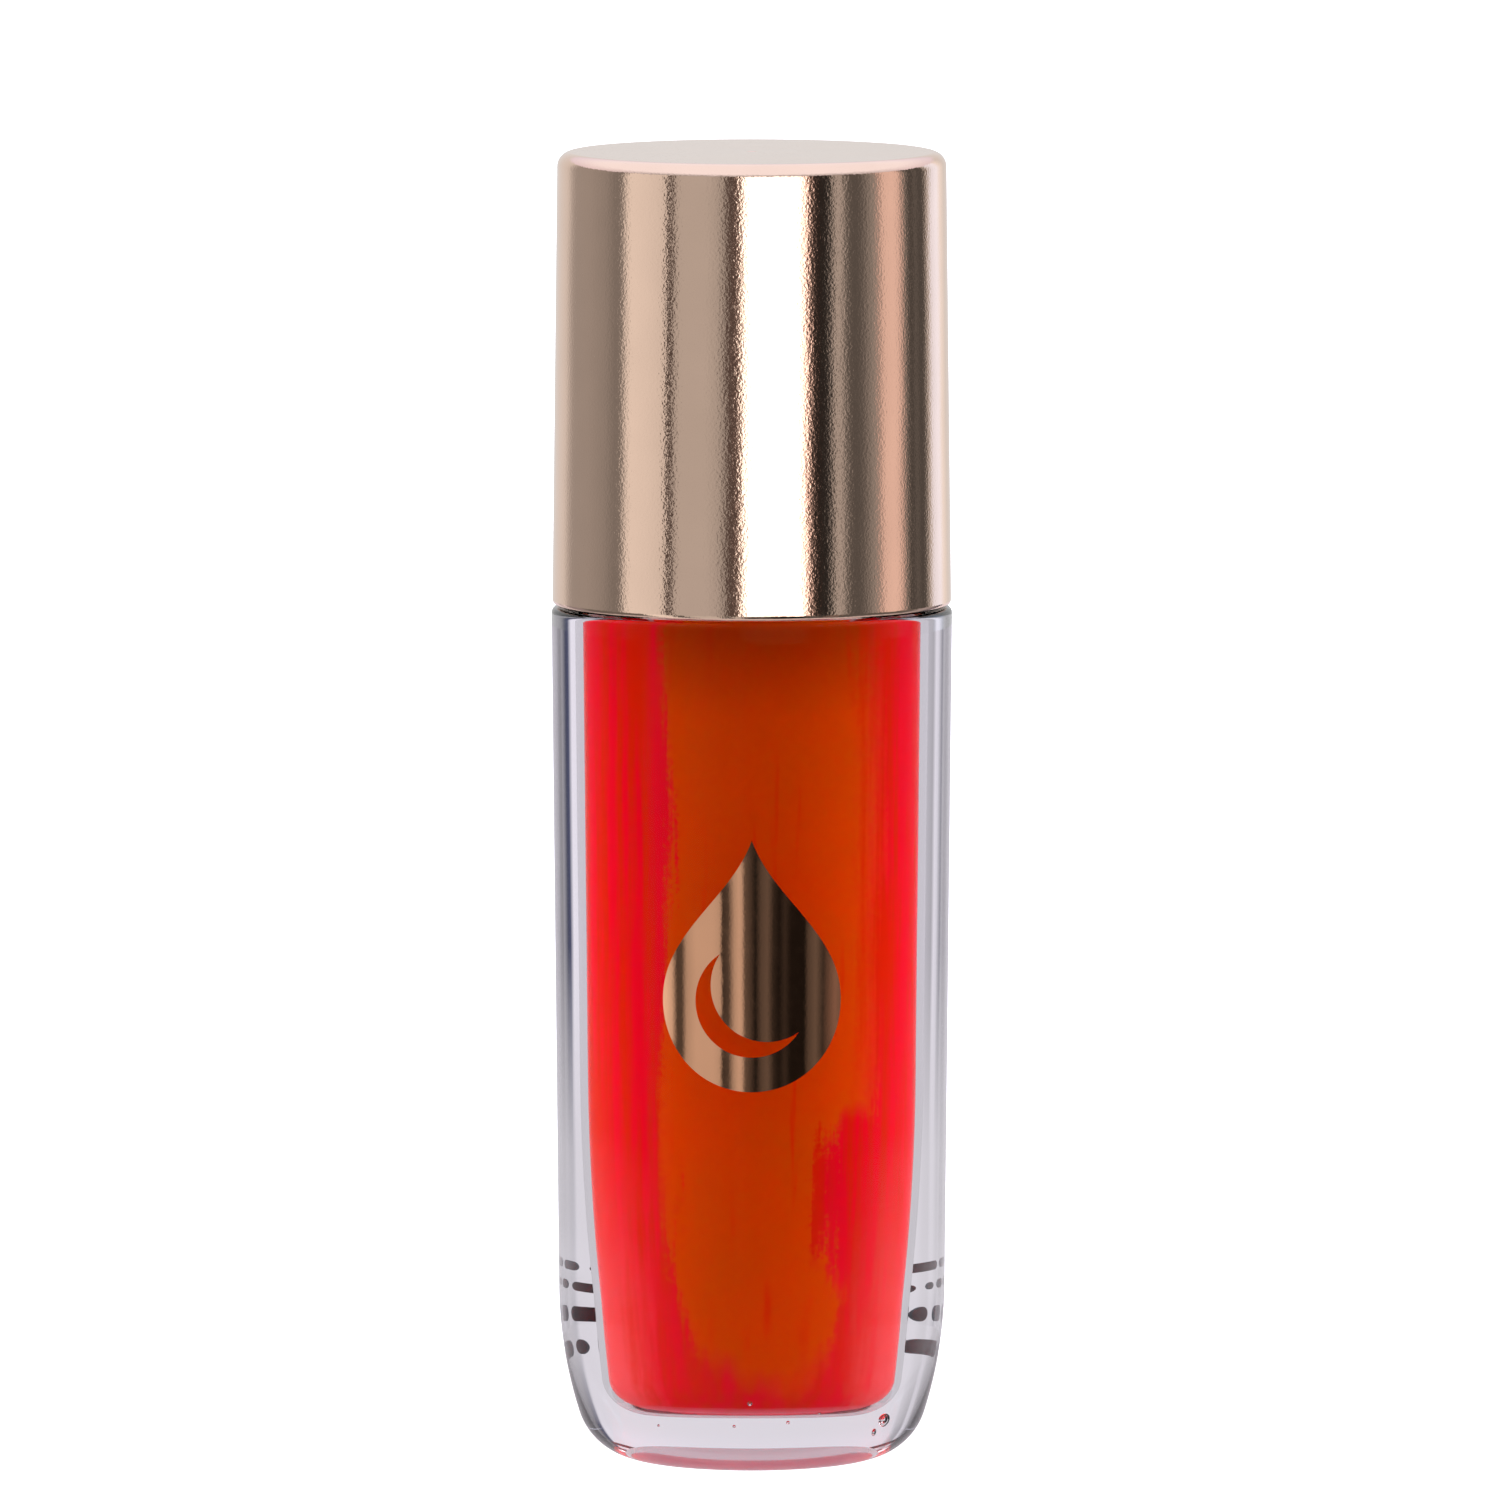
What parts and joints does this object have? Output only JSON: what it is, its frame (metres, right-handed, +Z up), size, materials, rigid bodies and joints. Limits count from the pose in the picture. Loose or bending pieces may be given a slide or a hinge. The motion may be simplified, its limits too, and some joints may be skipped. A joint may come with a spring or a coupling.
{
  "type": "lip gloss tube",
  "caption": "Round thick-walled clear lip gloss tube with a tapered metallised screw cap that carries a doe-foot wand through a wiper into the gloss.",
  "frame": {"origin": "centre of the base, on the plane the tube stands on", "axes": "+Z up along the tube's axis towards the cap; the emblem faces -Y; +X is to the right of the emblem"},
  "size_m": [0.022, 0.022, 0.072],
  "materials": {
    "clear_bottle": "clear polished PETG, thick-walled",
    "gloss": "wet translucent red gel",
    "wiper_plastic": "natural soft polyethylene",
    "foil": "rose-gold hot-stamped foil",
    "ink": "screen-printed black ink",
    "rose_gold_plating": "rose-gold metallised ABS, mirror-like",
    "inner_cap_plastic": "moulded white polypropylene",
    "gasket_foam": "white foamed polyethylene",
    "stem_plastic": "moulded white polypropylene",
    "applicator_plastic": "moulded elastomer",
    "flock": "short nylon flock, soaked with gloss"
  },
  "bodies": {
    "tube": {"bottle": "clear_bottle", "gloss": "gloss", "wiper": "wiper_plastic", "front_emblem": "foil", "back_print": "ink"},
    "seal": {"cap_gasket": "gasket_foam"},
    "cap": {"cap_shell": "rose_gold_plating", "inner_cap": "inner_cap_plastic", "wand_stem": "stem_plastic", "applicator_core": "applicator_plastic", "applicator_flock": "flock"}
  },
  "joints": [
    {"name": "cap_lift", "type": "slide", "parent": "tube", "child": "seal", "axis": [0, 0, 1], "range_m": [0, 0.058]},
    {"name": "cap_turn", "type": "hinge", "parent": "seal", "child": "cap", "pos_m": [0, 0, 0.06], "axis": [0, 0, 1], "range_deg": [0, 576]}
  ]
}
